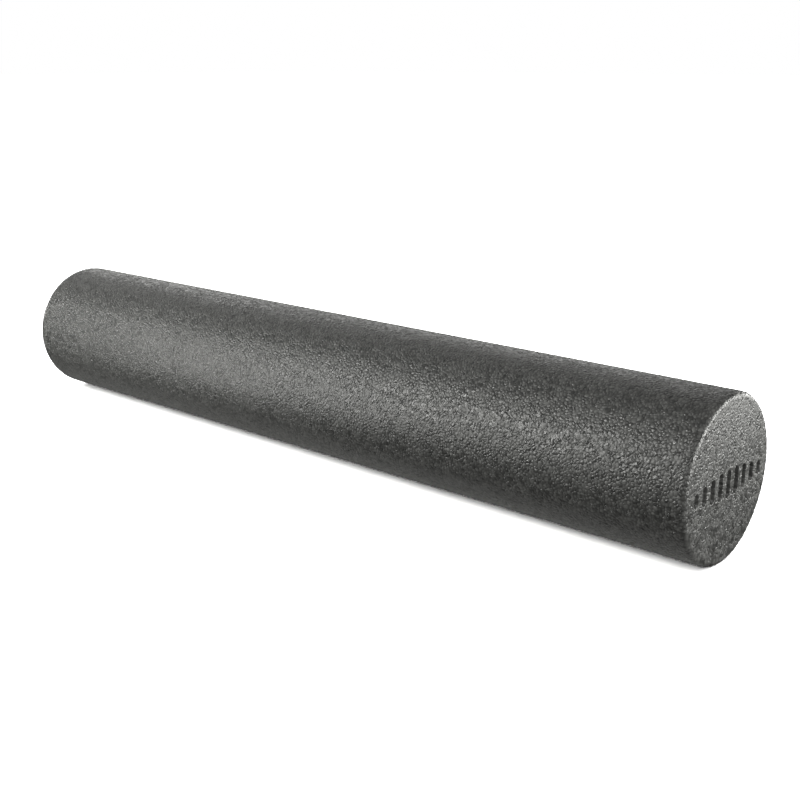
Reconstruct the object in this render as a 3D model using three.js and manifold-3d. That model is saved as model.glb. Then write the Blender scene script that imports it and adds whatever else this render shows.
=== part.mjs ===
// Full-round foam roller: one steam-moulded cylinder of expanded bead foam with closed flat ends.
// Millimetres, +Z up. +X runs along the roller towards its marked end. The roller lies on the
// plane z = 0, and the origin is on that plane under the middle of the roller.

import * as THREE from 'three';
import { mergeVertices } from 'three/addons/utils/BufferGeometryUtils.js';
import Module from 'manifold-3d';

// Driving dimensions of the roller.
const ROLLER_LENGTH = 914.4;
const ROLLER_DIAMETER = 152.4;
const EDGE_RADIUS = 5;

// How finely the round surfaces are faceted. The barrel lies on one of its flats.
const BARREL_FACETS = 64;
const EDGE_STEPS = 5;

// The recessed mark on the +X end: a level row of upright round-ended slots, tallest in the middle.
const SLOT_COUNT = 9;
const SLOT_SPACING = 14;
const SLOT_WIDTH = 6;
const SLOT_DEPTH = 2.5;
const TALLEST_SLOT = 24;
const SHORTEST_SLOT = 11;
const MARK_DROP = 3;
const SLOT_END_STEPS = 8;

const FOAM_COLOUR = 0x3c3d3b;
const FOAM_ROUGHNESS = 0.72;

const wasm = await Module();
wasm.setup();

// A closed indexed geometry with shared corners merged and collapsed triangles left out.
function closedGeometry(geometry) {
  const bare = geometry.clone();
  bare.deleteAttribute('normal');
  bare.deleteAttribute('uv');
  const merged = mergeVertices(bare, 1e-4);
  const corners = merged.index.array;
  const kept = [];
  for (let i = 0; i < corners.length; i += 3) {
    const [a, b, c] = corners.slice(i, i + 3);
    if (a !== b && b !== c && c !== a) kept.push(a, b, c);
  }
  merged.setIndex(kept);
  return merged;
}

function toSolid(geometry) {
  const closed = closedGeometry(geometry);
  return new wasm.Manifold(new wasm.Mesh({
    numProp: 3,
    vertProperties: new Float32Array(closed.attributes.position.array),
    triVerts: new Uint32Array(closed.index.array),
  }));
}

function toGeometry(solid) {
  const mesh = solid.getMesh();
  const geometry = new THREE.BufferGeometry();
  geometry.setAttribute('position', new THREE.BufferAttribute(mesh.vertProperties, 3));
  geometry.setIndex(new THREE.BufferAttribute(mesh.triVerts, 1));
  geometry.computeVertexNormals();
  return geometry;
}

// Half of the roller's section, from the middle of one end to the middle of the other. The corners
// of the facets stand outside the true radius, so that the flats lie exactly on it.
function rollerProfile() {
  const cornerScale = 1 / Math.cos(Math.PI / BARREL_FACETS);
  const radius = ROLLER_DIAMETER / 2;
  const half = ROLLER_LENGTH / 2;
  const points = [new THREE.Vector2(0, -half)];
  for (const end of [-1, 1]) {
    for (let i = 0; i <= EDGE_STEPS; i += 1) {
      const turn = (Math.PI / 2) * (end < 0 ? i : EDGE_STEPS - i) / EDGE_STEPS;
      const r = radius - EDGE_RADIUS * (1 - Math.sin(turn));
      const x = end * (half - EDGE_RADIUS * (1 - Math.cos(turn)));
      points.push(new THREE.Vector2(r * cornerScale, x));
    }
  }
  points.push(new THREE.Vector2(0, half));
  return points;
}

// The plain cylinder with rounded end edges, laid along X with a flat underneath.
function rollerBlank() {
  const halfFacet = Math.PI / BARREL_FACETS;
  const blank = new THREE.LatheGeometry(rollerProfile(), BARREL_FACETS, halfFacet);
  blank.rotateZ(-Math.PI / 2);
  return blank;
}

// A slot's overall height. It falls off as a cosine from the middle of the row to its ends.
function slotHeight(place) {
  const turn = (Math.PI / 2) * (place / ((SLOT_COUNT - 1) / 2));
  return SHORTEST_SLOT + (TALLEST_SLOT - SHORTEST_SLOT) * Math.cos(turn);
}

// One slot as a cutter: it reaches SLOT_DEPTH into the +X end and stands clear in front of it.
function slotCutter(place) {
  const radius = SLOT_WIDTH / 2;
  const reach = slotHeight(place) / 2 - radius;
  const shape = new THREE.Shape();
  shape.absarc(0, reach, radius, 0, Math.PI, false);
  shape.absarc(0, -reach, radius, Math.PI, 2 * Math.PI, false);
  const cutter = new THREE.ExtrudeGeometry(shape, {
    depth: 2 * SLOT_DEPTH,
    bevelEnabled: false,
    curveSegments: SLOT_END_STEPS,
  });
  const toEndFace = new THREE.Matrix4().makeBasis(
    new THREE.Vector3(0, 1, 0),
    new THREE.Vector3(0, 0, 1),
    new THREE.Vector3(1, 0, 0),
  );
  cutter.applyMatrix4(toEndFace);
  cutter.translate(ROLLER_LENGTH / 2 - SLOT_DEPTH, place * SLOT_SPACING, -MARK_DROP);
  return cutter;
}

function rollerGeometry() {
  let body = toSolid(rollerBlank());
  for (let slot = 0; slot < SLOT_COUNT; slot += 1) {
    const place = slot - (SLOT_COUNT - 1) / 2;
    body = body.subtract(toSolid(slotCutter(place)));
  }
  return toGeometry(body);
}

function foamMaterial() {
  return new THREE.MeshStandardMaterial({
    color: FOAM_COLOUR,
    roughness: FOAM_ROUGHNESS,
    metalness: 0,
    flatShading: true,
  });
}

const rollerBody = new THREE.Mesh(rollerGeometry(), foamMaterial());
rollerBody.name = 'roller_body';
rollerBody.position.set(0, 0, ROLLER_DIAMETER / 2);

const foamRoller = new THREE.Group();
foamRoller.name = 'foam_roller';
foamRoller.add(rollerBody);

export default foamRoller;
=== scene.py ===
"""The looks of the foam roller: a moulded bead-foam cylinder, built bead by bead around the frame.

The skin of such foam is a layer of beads pressed against the mould. Each bead is one cell of this
mesh, with a low, slightly tilted top, sides that fall to the seams it shares with its neighbours,
and a small pit where three beads meet. All lengths are in metres.
"""

import math

import bpy
import numpy as np
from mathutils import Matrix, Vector
from mathutils.geometry import delaunay_2d_cdt


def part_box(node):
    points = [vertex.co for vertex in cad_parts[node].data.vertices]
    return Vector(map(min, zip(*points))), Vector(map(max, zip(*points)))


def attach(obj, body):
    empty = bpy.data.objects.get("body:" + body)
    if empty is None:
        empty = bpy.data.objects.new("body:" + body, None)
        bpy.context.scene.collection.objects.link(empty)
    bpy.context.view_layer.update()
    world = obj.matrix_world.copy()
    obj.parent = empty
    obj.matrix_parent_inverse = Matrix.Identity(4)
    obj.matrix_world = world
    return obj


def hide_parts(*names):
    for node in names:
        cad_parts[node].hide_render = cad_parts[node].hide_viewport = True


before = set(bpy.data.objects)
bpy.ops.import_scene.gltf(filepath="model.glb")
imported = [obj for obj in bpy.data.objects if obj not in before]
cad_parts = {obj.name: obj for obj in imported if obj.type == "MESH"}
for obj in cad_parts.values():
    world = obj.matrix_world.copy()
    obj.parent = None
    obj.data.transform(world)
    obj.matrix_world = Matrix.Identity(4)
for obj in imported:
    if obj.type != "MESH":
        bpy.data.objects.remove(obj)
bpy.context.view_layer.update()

MM = 0.001

# The camera: a lens in millimetres, a yaw that turns from +X towards +Y and a pitch that looks down.
CAMERA_LENS = 53.1
CAMERA_PLACE = (0.866, -0.880, 0.415)
CAMERA_YAW = math.radians(131.4)
CAMERA_PITCH = math.radians(16.1)

# The roller, from its CAD node. It lies along X, with its marked end at +X.
NODE = "roller_body"
LOW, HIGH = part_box(NODE)
HALF_LENGTH = (HIGH.x - LOW.x) / 2
RADIUS = (HIGH.z - LOW.z) / 2
AXIS_HEIGHT = (HIGH.z + LOW.z) / 2
EDGE_RADIUS = 5 * MM
FLAT_RADIUS = RADIUS - EDGE_RADIUS
ARC_LENGTH = EDGE_RADIUS * math.pi / 2
BARREL_LENGTH = 2 * (HALF_LENGTH - EDGE_RADIUS)
SIDE_LENGTH = BARREL_LENGTH + 2 * ARC_LENGTH
GIRTH = 2 * math.pi * RADIUS

# How the beads lie. BEAD is their usual spacing, and the other three are shares of it: how far a
# bead may be off its grid place, the same on the rings round the flat ends, and the room those
# rings have on both sides.
BEAD = 3.2 * MM
JITTER = 0.5
RING_JITTER = 0.3
RING_CLEARANCE = 0.8

# The relief of a bead: how far its top reaches towards its corners, how far the top may lie below
# the smooth surface, its fall from middle to rim, its slope, and the depth of its corners.
# SIZE_SPREAD is how unequally neighbours share the room between them, and END_RELIEF the relief of
# the flat ends as a share of the barrel's.
TOP_SHARE = 0.52
TOP_DROP = 0.2 * MM
TOP_CROWN = 0.155 * MM
TOP_TILT = 0.098
SEAM_DEPTH = (0.25 * MM, 0.8 * MM)
SIZE_SPREAD = 0.4
END_RELIEF = 0.5
SEED = 7

# The recessed mark: a level row of upright round-ended slots, as in the CAD node. Their walls slope
# over WALL_WIDTH, and the mesh is refined in a band on both sides of them.
SLOT_COUNT = 9
SLOT_SPACING = 14 * MM
SLOT_WIDTH = 6 * MM
SLOT_DEPTH = 2.5 * MM
TALLEST_SLOT = 24 * MM
SHORTEST_SLOT = 11 * MM
MARK_DROP = 3 * MM
WALL_WIDTH = 2.4 * MM
REFINED_BAND = 2.2 * MM
REFINE_PASSES = 3
FACES_END = 0.999        # a surface whose outward direction has more X than this is the marked end

# The foam. A bead is somewhere between its two greys and its two roughnesses.
BEAD_GREY = (0.035, 0.085)
BEAD_ROUGHNESS = (0.28, 0.5)
# The next value is painted shade: the share of the grey left in the pits between beads and in the
# slots of the mark.
PAINTED_SHADE_LEVEL = 0.5
FOAM_TINT = (1.0, 1.01, 0.97)
MOTTLE_SCALE = 95
MOTTLE_RANGE = (0.3, 0.7)
MOTTLE_SHADE = (0.88, 1.12)
WRINKLE_SCALE = 900
WRINKLE_STRENGTH = 0.5
WRINKLE_DEPTH = 0.3 * MM

# The stage. The first of two greys is what the camera sees, the second what everything else gets
# from it. Only the backdrop's dim light reaches the floor, so the floor's first grey has to be far
# above 1 to look white.
FLOOR_REACH = 30
FLOOR_GREY = (20.0, 0.06)
BACKDROP_GREY = (1.0, 0.2)
LIGHT_COLOUR = (1.0, 1.0, 0.97)
SOFTBOX_DISTANCE = 2.0
CARD_HEIGHT = 2 * MM


def place_camera():
    camera = bpy.data.objects.new("camera", bpy.data.cameras.new("camera"))
    bpy.context.scene.collection.objects.link(camera)
    camera.data.lens = CAMERA_LENS
    camera.location = CAMERA_PLACE
    camera.rotation_euler = (math.pi / 2 - CAMERA_PITCH, 0, CAMERA_YAW - math.pi / 2)
    bpy.context.scene.camera = camera


place_camera()


# ---- The smooth roller, with its axis on y = z = 0 ----

def settle(points):
    """The nearest points of the smooth surface, and the outward directions there."""
    core = points.copy()
    flat = HALF_LENGTH - EDGE_RADIUS
    core[:, 0] = np.clip(core[:, 0], -flat, flat)
    reach = np.hypot(core[:, 1], core[:, 2])
    core[:, 1:] *= np.minimum(1, FLAT_RADIUS / np.maximum(reach, 1e-9))[:, None]
    out = points - core
    out /= np.linalg.norm(out, axis=1, keepdims=True)
    return core + EDGE_RADIUS * out, out


def on_side(turn, along):
    """Points from the angle round the axis and the distance along the developed side.

    A distance below 0 or above SIDE_LENGTH runs onto a flat end."""
    start = np.clip(along / EDGE_RADIUS, 0, math.pi / 2)
    finish = np.clip((SIDE_LENGTH - along) / EDGE_RADIUS, 0, math.pi / 2)
    onto_flat = np.minimum(along, 0) + np.minimum(SIDE_LENGTH - along, 0)
    reach = FLAT_RADIUS + EDGE_RADIUS * np.sin(np.minimum(start, finish)) + onto_flat
    x = -HALF_LENGTH + EDGE_RADIUS * (1 - np.cos(start) + np.cos(finish))
    x = x + np.clip(along - ARC_LENGTH, 0, BARREL_LENGTH)
    return np.column_stack([x, reach * np.cos(turn), reach * np.sin(turn)])


# ---- Bead centres and how they neighbour each other ----

def hex_grid(width, height):
    """A hexagonal grid of BEAD spacing that repeats across width and fills 0 to height."""
    columns = round(width / BEAD)
    rows = round(height / (BEAD * math.sqrt(3) / 2)) + 1
    column, row = np.meshgrid(np.arange(columns), np.arange(rows))
    across = (column + 0.5 * (row % 2)) * width / columns
    return np.column_stack([across.ravel(), (row * height / (rows - 1)).ravel()])


def shaken(points, rng):
    """Points of a flat grid, moved off their places at random."""
    return points + rng.uniform(-JITTER, JITTER, points.shape) * BEAD


def triangulate(points, outline):
    """Delaunay triangles of flat points inside a closed outline, which is a list of their indices."""
    flat = [Vector(p) for p in (points / BEAD).tolist()]
    _, _, faces, sources, _, _ = delaunay_2d_cdt(flat, [], [outline], 1, 1e-6)
    return np.array([s[0] for s in sources])[np.array(faces)]


def ring_beads(rng):
    """The beads where a flat end meets its rounded edge: angles, and distances past the line."""
    count = round(2 * math.pi * FLAT_RADIUS / BEAD)
    turn = (np.arange(count) + rng.uniform(-RING_JITTER, RING_JITTER, count)) * 2 * math.pi / count
    return turn, rng.uniform(-RING_JITTER, RING_JITTER, count) * BEAD


def side_triangles(inner, rings, ring_starts):
    """Triangles of the barrel and both rounded edges, whose pattern closes on itself.

    The pattern is unrolled flat, with copies of the beads near the seam on both sides of it. The
    two rings of beads are its outline, and each triangle is kept once."""
    points, owners = [inner], [np.arange(len(inner))]
    for (turn, past), start, end in zip(rings, ring_starts, (0, 1)):
        along = past if end == 0 else SIDE_LENGTH - past
        points.append(np.column_stack([turn * RADIUS, along]))
        owners.append(start + np.arange(len(turn)))
    points, owners = np.concatenate(points), np.concatenate(owners)
    points[:, 0] %= GIRTH
    overlap = 6 * BEAD
    after = points[:, 0] < overlap
    before = points[:, 0] > GIRTH - overlap
    step = np.array([GIRTH, 0])
    spread = np.concatenate([points, points[after] + step, points[before] - step])
    owners = np.concatenate([owners, owners[after], owners[before]])
    near, far = (np.flatnonzero((owners >= s) & (owners < s + len(r[0])))
                 for s, r in zip(ring_starts, rings))
    near = near[np.argsort(spread[near, 0])]
    far = far[np.argsort(-spread[far, 0])]
    found = triangulate(spread, near.tolist() + far.tolist())
    middle = spread[found].mean(axis=1)[:, 0]
    return owners[found[(middle >= 0) & (middle < GIRTH)]]


def end_triangles(inner, ring, inner_start, ring_start):
    """Triangles of a flat end, out to its ring of beads."""
    turn, past = ring
    reach = FLAT_RADIUS + past
    edge = np.column_stack([reach * np.cos(turn), reach * np.sin(turn)])
    order = len(inner) + np.argsort(turn)
    found = triangulate(np.concatenate([inner, edge]), order.tolist())
    owners = np.concatenate([inner_start + np.arange(len(inner)), ring_start + np.arange(len(turn))])
    return owners[found]


def disc_grid(rng):
    """Bead centres on a flat end, inside its ring."""
    grid = hex_grid(2 * FLAT_RADIUS, 2 * FLAT_RADIUS) - FLAT_RADIUS
    grid = shaken(grid, rng)
    return grid[np.hypot(*grid.T) < FLAT_RADIUS - RING_CLEARANCE * BEAD]


def lay_beads(rng):
    """All bead centres on the smooth surface, and the triangles that join neighbours."""
    margin = RING_CLEARANCE * BEAD
    side = shaken(hex_grid(GIRTH, SIDE_LENGTH), rng)
    side = side[(side[:, 1] > margin) & (side[:, 1] < SIDE_LENGTH - margin)]
    discs = [disc_grid(rng), disc_grid(rng)]
    rings = [ring_beads(rng), ring_beads(rng)]
    counts = [len(side), len(rings[0][0]), len(rings[1][0]), len(discs[0]), len(discs[1])]
    starts = np.concatenate([[0], np.cumsum(counts)])
    centres = [on_side(side[:, 0] / RADIUS, side[:, 1])]
    centres.append(on_side(rings[0][0], rings[0][1]))
    centres.append(on_side(rings[1][0], SIDE_LENGTH - rings[1][1]))
    for disc, x in zip(discs, (-HALF_LENGTH, HALF_LENGTH)):
        centres.append(np.column_stack([np.full(len(disc), x), disc]))
    sides = side_triangles(side, rings, starts[1:3])
    plain = end_triangles(discs[0], rings[0], starts[3], starts[1])
    marked = end_triangles(discs[1], rings[1], starts[4], starts[2])
    return np.concatenate(centres), np.concatenate([sides, plain[:, ::-1], marked])


# ---- The skin of the beads ----

def opposite_edges(triangles, count):
    """For each directed edge of the triangles, in order, the index of the same edge run backwards."""
    start = triangles.ravel()
    end = np.roll(triangles, -1, axis=1).ravel()
    forward, backward = start * count + end, end * count + start
    order = np.argsort(forward)
    found = order[np.searchsorted(forward, backward, sorter=order)]
    assert np.array_equal(forward[found], backward), "the bead pattern has a gap"
    return found


def bead_skin(rng):
    """Points of the smooth surface, their outward directions, heights and painted shade (1 at the
    corners between beads, where the pits are, and 0 elsewhere), and triangles with the bead each
    belongs to.

    A bead has one centre, a ring round its top and a corner where it meets two others."""
    centres, triangles = lay_beads(rng)
    beads, corners = len(centres), len(triangles)
    pull = 1 / rng.uniform(1 - SIZE_SPREAD, 1 + SIZE_SPREAD, beads)
    share = pull[triangles] / pull[triangles].sum(axis=1, keepdims=True)
    corner_points = (centres[triangles] * share[..., None]).sum(axis=1)
    owner = triangles.ravel()
    corner_of_ring = np.repeat(np.arange(corners), 3)
    ring_points = centres[owner] + TOP_SHARE * (corner_points[corner_of_ring] - centres[owner])
    base, out = settle(np.concatenate([centres, ring_points, corner_points]))

    top = -rng.uniform(0, 1, beads) * TOP_DROP
    tilt = rng.normal(0, TOP_TILT, (beads, 3))
    lean = (tilt[owner] * (base[beads:beads + len(owner)] - base[owner])).sum(axis=1)
    ring_height = top[owner] - TOP_CROWN + lean
    seam = -rng.uniform(*SEAM_DEPTH, corners)
    height = np.concatenate([top, np.minimum(ring_height, 0), seam])
    height *= 1 - (1 - END_RELIEF) * out[:, 0] ** 2

    edge = np.arange(3 * corners)
    twin = opposite_edges(triangles, beads)
    ring_left = beads + edge
    ring_right = beads + 3 * (twin // 3) + (twin % 3 + 1) % 3
    first_corner = beads + 3 * corners
    left, right = first_corner + edge // 3, first_corner + twin // 3
    # For each bead and each of its neighbours, a slice of the bead's top and two triangles down to
    # the seam between them.
    faces = np.concatenate([
        np.column_stack([owner, ring_right, ring_left]),
        np.column_stack([ring_right, right, left]),
        np.column_stack([ring_right, left, ring_left]),
    ])
    # Painted shade: the pits at the corners between beads are darkened in the colour. The same values
    # also mark the creases.
    painted_shade = np.zeros(len(base))
    painted_shade[first_corner:] = 1
    return base, out, height, painted_shade, faces, np.tile(owner, 3)


# ---- The recessed mark ----

def slot_distance(y, z):
    """How far points of the marked end are outside the nearest slot. Inside, it is negative."""
    nearest = np.full(len(y), np.inf)
    for slot in range(SLOT_COUNT):
        place = slot - (SLOT_COUNT - 1) / 2
        turn = math.pi / 2 * place / ((SLOT_COUNT - 1) / 2)
        tall = SHORTEST_SLOT + (TALLEST_SLOT - SHORTEST_SLOT) * math.cos(turn)
        reach = (tall - SLOT_WIDTH) / 2
        along = np.clip(z + MARK_DROP, -reach, reach)
        apart = np.hypot(y - place * SLOT_SPACING, z + MARK_DROP - along)
        nearest = np.minimum(nearest, apart - SLOT_WIDTH / 2)
    return nearest


def mark_depth(points, out):
    """How deep the mark is pressed in at each point of the smooth surface."""
    inside = -slot_distance(points[:, 1], points[:, 2]) / WALL_WIDTH + 0.5
    step = np.clip(inside, 0, 1)
    return SLOT_DEPTH * step * step * (3 - 2 * step) * (out[:, 0] > FACES_END)


def near_walls(values):
    """Whether points, given as rows of values, are on the marked end and close to a slot's wall."""
    close = np.abs(slot_distance(values[:, 1], values[:, 2])) < REFINED_BAND
    return close & (values[:, 3] > FACES_END)


def refine(values, sharp, faces, face_bead):
    """Splits the edges that have an end near a slot's wall at their middles.

    A face has corners p, q and r, and its edges pq, qr and rp have the middles u, v and w. The bits
    of a pattern say which of the three edges are split."""
    ends = np.stack([faces, np.roll(faces, -1, axis=1)], axis=2)
    keys = np.sort(ends.reshape(-1, 2), axis=1)
    edges, place = np.unique(keys, axis=0, return_inverse=True)
    split = near_walls(values)[edges].any(axis=1)
    number = np.where(split, len(values) + np.cumsum(split) - 1, -1)
    a, b = edges[split].T
    values = np.concatenate([values, (values[a] + values[b]) / 2])
    sharp = np.concatenate([sharp, sharp[a] & sharp[b]])
    middle = number[place.reshape(-1)].reshape(-1, 3)
    pieces, beads = [], []
    for pattern in range(8):
        rows = (middle >= 0) @ np.array([1, 2, 4]) == pattern
        p, q, r = faces[rows].T
        u, v, w = middle[rows].T
        cut = {
            0: [(p, q, r)],
            1: [(p, u, r), (u, q, r)],
            2: [(q, v, p), (v, r, p)],
            4: [(r, w, q), (w, p, q)],
            3: [(u, q, v), (p, u, r), (u, v, r)],
            6: [(v, r, w), (q, v, p), (v, w, p)],
            5: [(w, p, u), (r, w, q), (w, u, q)],
            7: [(p, u, w), (u, q, v), (v, r, w), (u, v, w)],
        }[pattern]
        for corners in cut:
            pieces.append(np.column_stack(corners))
            beads.append(face_bead[rows])
    return values, sharp, np.concatenate(pieces), np.concatenate(beads)


def marked_skin(rng):
    """The bead skin with the mark pressed in: points, faces, the bead of each face, the painted shade
    that darkens the seams and slots at each point, and which points lie on the creases between beads."""
    base, out, height, painted_shade, faces, face_bead = bead_skin(rng)
    values = np.column_stack([base, out, height, painted_shade])
    sharp = painted_shade > 0.5
    for _ in range(REFINE_PASSES):
        values, sharp, faces, face_bead = refine(values, sharp, faces, face_bead)
    base, out, height, painted_shade = values[:, :3], values[:, 3:6], values[:, 6], values[:, 7]
    out = out / np.linalg.norm(out, axis=1, keepdims=True)
    pressed = mark_depth(base, out)
    points = base + out * (height - pressed)[:, None]
    points[:, 2] += AXIS_HEIGHT
    # Painted shade: each slot is darkened in the colour as far as it is pressed in.
    return points, faces, face_bead, np.maximum(painted_shade, pressed / SLOT_DEPTH), sharp


def foam_mesh(rng):
    """The roller's mesh, with its creases and the two values that the material reads."""
    points, faces, face_bead, painted_shade, sharp = marked_skin(rng)
    mesh = bpy.data.meshes.new("roller_foam")
    mesh.vertices.add(len(points))
    mesh.vertices.foreach_set("co", points.astype(np.float32).ravel())
    mesh.loops.add(faces.size)
    mesh.loops.foreach_set("vertex_index", faces.astype(np.int32).ravel())
    mesh.polygons.add(len(faces))
    mesh.polygons.foreach_set("loop_start", np.arange(0, faces.size, 3, dtype=np.int32))
    mesh.update(calc_edges=True)
    mesh.shade_smooth()
    ends = np.empty(2 * len(mesh.edges), np.int32)
    mesh.edges.foreach_get("vertices", ends)
    creased = sharp[ends.reshape(-1, 2)].all(axis=1)
    mesh.attributes.new("sharp_edge", "BOOLEAN", "EDGE").data.foreach_set("value", creased)
    # Painted shade in the pits between beads and in the slots, which the material reads.
    seam = mesh.attributes.new("painted_shade", "FLOAT", "POINT")
    seam.data.foreach_set("value", painted_shade.astype(np.float32))
    tone = mesh.attributes.new("bead_tone", "FLOAT", "FACE")
    tone.data.foreach_set("value", rng.random(face_bead.max() + 1)[face_bead].astype(np.float32))
    return mesh


# ---- The foam's material ----

def add_node(tree, kind, **inputs):
    """A node whose named inputs are set to values, or joined to the outputs of other nodes."""
    node = tree.nodes.new(kind)
    for name, value in inputs.items():
        socket = node.inputs[name.replace("_", " ")]
        if isinstance(value, bpy.types.NodeSocket):
            tree.links.new(value, socket)
        else:
            socket.default_value = value
    return node


def attribute(tree, name):
    """The value that the mesh holds under a name."""
    node = tree.nodes.new("ShaderNodeAttribute")
    node.attribute_name = name
    return node.outputs["Fac"]


def remap(tree, value, low, high, start=0, end=1):
    """Carries a value that runs from start to end over to the range from low to high."""
    limits = {"From_Min": start, "From_Max": end, "To_Min": low, "To_Max": high}
    return add_node(tree, "ShaderNodeMapRange", Value=value, **limits).outputs["Result"]


def multiply(tree, first, second):
    node = tree.nodes.new("ShaderNodeMath")
    node.operation = "MULTIPLY"
    tree.links.new(first, node.inputs[0])
    tree.links.new(second, node.inputs[1])
    return node.outputs["Value"]


def foam_grey(tree, place):
    """The foam's colour: a grey for each bead, mottled in patches, with painted shade in seams and
    slots.
    """
    mottle = add_node(tree, "ShaderNodeTexNoise", Vector=place, Scale=MOTTLE_SCALE, Detail=2)
    patch = remap(tree, mottle.outputs["Fac"], *MOTTLE_SHADE, *MOTTLE_RANGE)
    bead = remap(tree, attribute(tree, "bead_tone"), *BEAD_GREY)
    # Painted shade: the grey is darker in the pits between beads and in the slots of the mark.
    seam = remap(tree, attribute(tree, "painted_shade"), 1, PAINTED_SHADE_LEVEL)
    grey = multiply(tree, multiply(tree, bead, patch), seam)
    tint = tree.nodes.new("ShaderNodeVectorMath")
    tint.operation = "SCALE"
    tint.inputs[0].default_value = FOAM_TINT
    tree.links.new(grey, tint.inputs["Scale"])
    return tint.outputs["Vector"]


def fine_wrinkles(tree, place):
    noise = {"Scale": WRINKLE_SCALE, "Detail": 3, "Roughness": 0.6}
    wrinkle = add_node(tree, "ShaderNodeTexNoise", Vector=place, **noise).outputs["Fac"]
    relief = {"Strength": WRINKLE_STRENGTH, "Distance": WRINKLE_DEPTH}
    return add_node(tree, "ShaderNodeBump", Height=wrinkle, **relief).outputs["Normal"]


def foam_material():
    material = bpy.data.materials.new("bead_foam")
    material.use_nodes = True
    tree = material.node_tree
    shader = tree.nodes["Principled BSDF"]
    place = tree.nodes.new("ShaderNodeTexCoord").outputs["Object"]
    roughness = remap(tree, attribute(tree, "bead_tone"), *BEAD_ROUGHNESS)
    tree.links.new(foam_grey(tree, place), shader.inputs["Base Color"])
    tree.links.new(roughness, shader.inputs["Roughness"])
    tree.links.new(fine_wrinkles(tree, place), shader.inputs["Normal"])
    return material


foam = bpy.data.objects.new("roller_foam", foam_mesh(np.random.default_rng(SEED)))
bpy.context.scene.collection.objects.link(foam)
foam.data.materials.append(foam_material())
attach(foam, "root")
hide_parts(NODE)


# ---- The stage: a plain white floor and backdrop, softboxes and cards that light the roller ----

def seen_or_not(tree, seen, unseen):
    """A grey that is one value where the camera looks at it and another in the light it sends on."""
    path = tree.nodes.new("ShaderNodeLightPath")
    return remap(tree, path.outputs["Is Camera Ray"], unseen, seen)


def floor_paint():
    material = bpy.data.materials.new("white_floor")
    material.use_nodes = True
    tree = material.node_tree
    tree.nodes.clear()
    paint = add_node(tree, "ShaderNodeBsdfDiffuse", Color=seen_or_not(tree, *FLOOR_GREY))
    add_node(tree, "ShaderNodeOutputMaterial", Surface=paint.outputs["BSDF"])
    return material


def white_floor():
    mesh = bpy.data.meshes.new("floor")
    corners = [(x * FLOOR_REACH, y * FLOOR_REACH, 0) for x, y in ((-1, -1), (1, -1), (1, 1), (-1, 1))]
    mesh.from_pydata(corners, [], [(0, 1, 2, 3)])
    mesh.materials.append(floor_paint())
    floor = bpy.data.objects.new("floor", mesh)
    bpy.context.scene.collection.objects.link(floor)


def white_backdrop():
    world = bpy.data.worlds.new("backdrop")
    world.use_nodes = True
    tree = world.node_tree
    background = tree.nodes["Background"]
    background.inputs["Color"].default_value = (1, 1, 1, 1)
    tree.links.new(seen_or_not(tree, *BACKDROP_GREY), background.inputs["Strength"])
    bpy.context.scene.world = world
    bpy.context.scene.view_settings.view_transform = "Standard"


lit_by_lamps = bpy.data.collections.new("lit_by_lamps")
lit_by_lamps.objects.link(foam)


def area_light(name, size, power, place, turn):
    """A lamp that lights the roller and leaves the floor to the backdrop."""
    light = bpy.data.lights.new(name, "AREA")
    light.shape = "RECTANGLE"
    light.size, light.size_y = size
    light.energy = power
    light.color = LIGHT_COLOUR
    lamp = bpy.data.objects.new(name, light)
    bpy.context.scene.collection.objects.link(lamp)
    lamp.location = place
    lamp.rotation_euler = turn
    lamp.visible_camera = False
    lamp.light_linking.receiver_collection = lit_by_lamps


def softbox(name, azimuth, elevation, size, power):
    """A light that faces the roller's middle. Its azimuth turns from +X towards +Y."""
    azimuth, elevation = math.radians(azimuth), math.radians(elevation)
    level = math.cos(elevation)
    towards = Vector((level * math.cos(azimuth), level * math.sin(azimuth), math.sin(elevation)))
    place = Vector((0, 0, AXIS_HEIGHT)) + SOFTBOX_DISTANCE * towards
    area_light(name, size, power, place, (-towards).to_track_quat("-Z", "Y").to_euler())


def floor_card(name, x, y, size, power):
    """A glowing card that lies on the floor and faces up."""
    area_light(name, size, power, (x, y, CARD_HEIGHT), (math.pi, 0, 0))


white_floor()
white_backdrop()
# The long highlight on the front, the near edge and the marked end.
softbox("key", azimuth=242, elevation=26, size=(0.7, 0.9), power=36)
softbox("fill", azimuth=330, elevation=35, size=(0.6, 0.6), power=5)
softbox("corner", azimuth=312, elevation=18, size=(0.5, 0.5), power=7)
softbox("end", azimuth=22, elevation=3, size=(1.3, 0.3), power=29)
# The light along the top edge, from behind.
softbox("near_rim", azimuth=100, elevation=25, size=(1.2, 0.8), power=3.6)
softbox("middle_rim", azimuth=135, elevation=22, size=(1.6, 0.8), power=7)
softbox("far_rim", azimuth=160, elevation=22, size=(1.2, 0.8), power=3)
# The sides that the camera doesn't see.
softbox("back", azimuth=66, elevation=2, size=(1.6, 0.4), power=22)
softbox("far_end", azimuth=180, elevation=3, size=(0.4, 0.4), power=14)
# Light from the floor in front of the roller, under it and beyond its marked end.
floor_card("front_card", x=-0.5, y=-0.75, size=(0.5, 0.4), power=25)
floor_card("near_card", x=-0.3, y=-0.35, size=(0.5, 0.3), power=1.1)
floor_card("contact_card", x=0, y=-0.055, size=(1.1, 0.05), power=0.08)
floor_card("end_card", x=1.1, y=0.6, size=(0.5, 0.4), power=13)
